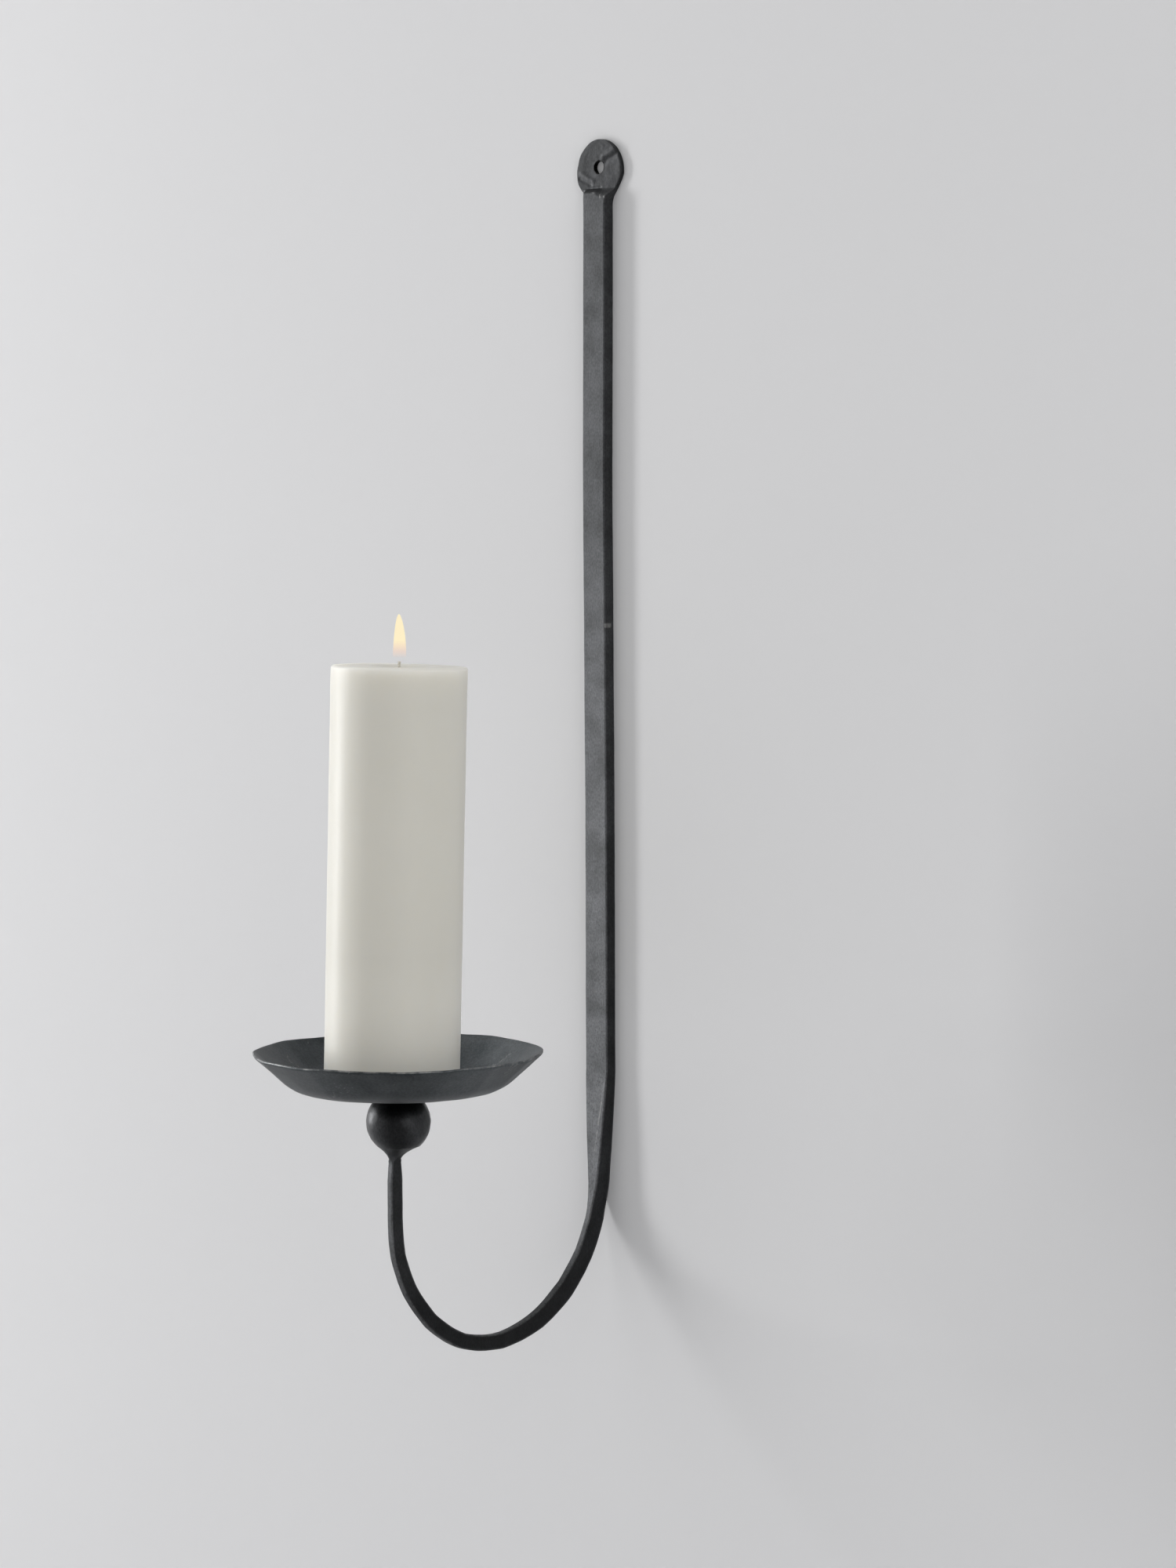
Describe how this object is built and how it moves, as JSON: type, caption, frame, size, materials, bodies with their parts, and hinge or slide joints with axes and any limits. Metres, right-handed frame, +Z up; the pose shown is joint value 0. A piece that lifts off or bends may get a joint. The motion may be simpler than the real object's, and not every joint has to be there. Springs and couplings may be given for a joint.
{
  "type": "candle wall sconce",
  "caption": "Hand-forged iron wall sconce: a flat bar with a hanging eye, drawn out into a hook that carries a ball, a drip pan and a pillar candle on a spike.",
  "frame": {"origin": "centre of the hanging eye's hole, at the wall", "axes": "+Z up along the bar, -Y out of the wall towards the room, +X to the right seen from the room"},
  "size_m": [0.1504, 0.2323, 0.6423],
  "materials": {
    "blackened_iron": "forged and blackened, waxed, satin",
    "pan_iron": "hammered sheet, blackened and waxed, edge worn bright",
    "candle_wax": "smooth ivory wax with a soft sheen",
    "wick_cotton": "braided cotton, charred at the tip"
  },
  "bodies": {
    "sconce": {"wall_bar": "blackened_iron", "ball_knop": "blackened_iron", "drip_pan": "pan_iron", "pricket": "blackened_iron"},
    "candle": {"candle": "candle_wax", "wick": "wick_cotton"}
  },
  "joints": [
    {"name": "candle_lift", "type": "slide", "parent": "sconce", "child": "candle", "axis": [0, 0, 1], "range_m": [0, 0.06]}
  ]
}
